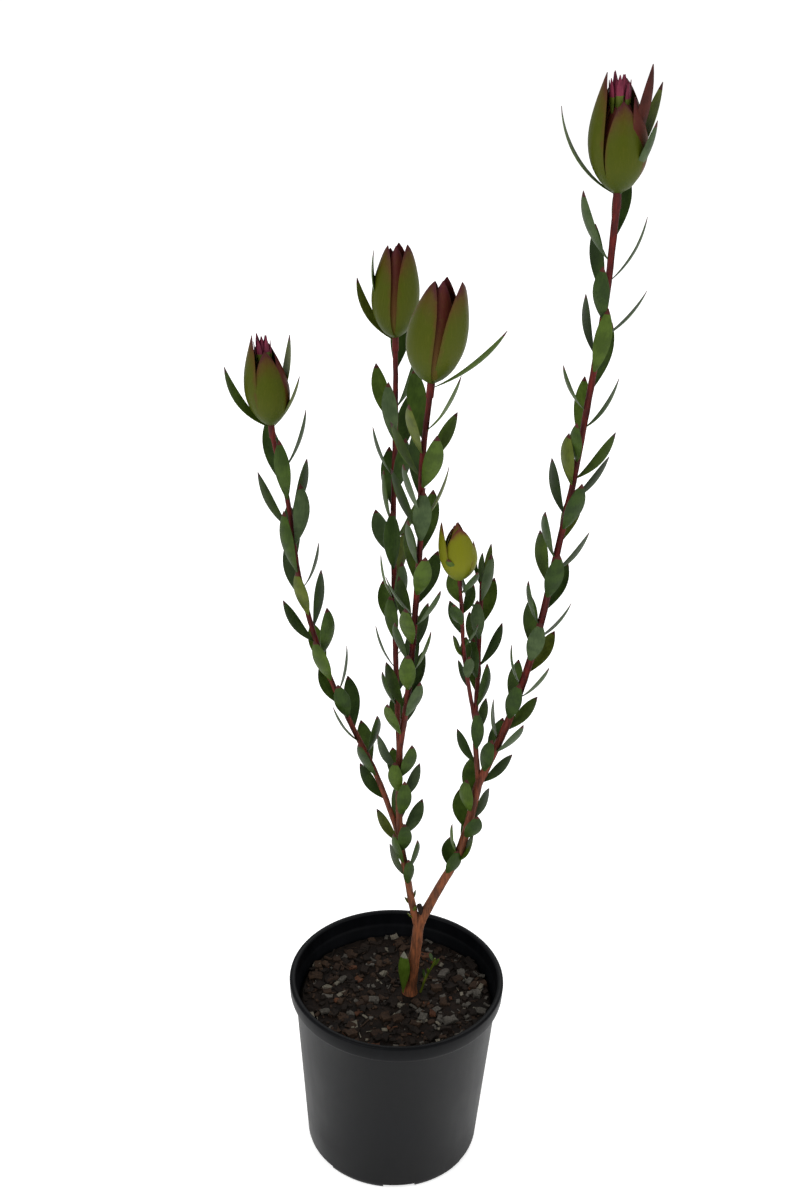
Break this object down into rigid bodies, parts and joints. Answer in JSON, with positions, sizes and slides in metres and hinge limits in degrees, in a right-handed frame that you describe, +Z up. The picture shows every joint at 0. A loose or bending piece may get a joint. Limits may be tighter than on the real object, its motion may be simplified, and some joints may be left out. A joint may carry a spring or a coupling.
{
  "type": "potted conebush shrub",
  "caption": "Young upright conebush shrub with goblet-shaped heads of bracts on leafy forked stems, growing in a tapered black nursery pot.",
  "frame": {"origin": "centre of the pot's flat underside", "axes": "+Z up along the pot's axis, +X to the viewer's right, +Y away from the viewer"},
  "size_m": [0.2249, 0.14, 0.7254],
  "materials": {
    "pot_plastic": "moulded charcoal plastic with a soft sheen",
    "potting_mix": "damp dark bark-based mix with paler chips",
    "bark": "smooth young bark, orange-brown",
    "leaf": "leathery dark green with a dull sheen",
    "bract": "leathery olive flushed with maroon, purple at the tips"
  },
  "bodies": {
    "root": {"pot": "pot_plastic", "potting_mix": "potting_mix", "trunk": "bark", "limb_left": "bark", "limb_right": "bark", "foot_leaf": "leaf", "foot_sprout": "leaf", "foliage_middle_lower": "leaf", "foliage_left": "leaf", "foliage_front": "leaf", "foliage_rear": "leaf", "foliage_right_lower": "leaf", "foliage_right_middle": "leaf", "foliage_right_upper": "leaf", "foliage_inner": "leaf", "foliage_bud": "leaf", "head_right": "bract", "head_left": "bract", "head_rear": "bract", "head_front": "bract", "bud_inner": "bract"}
  },
  "joints": []
}
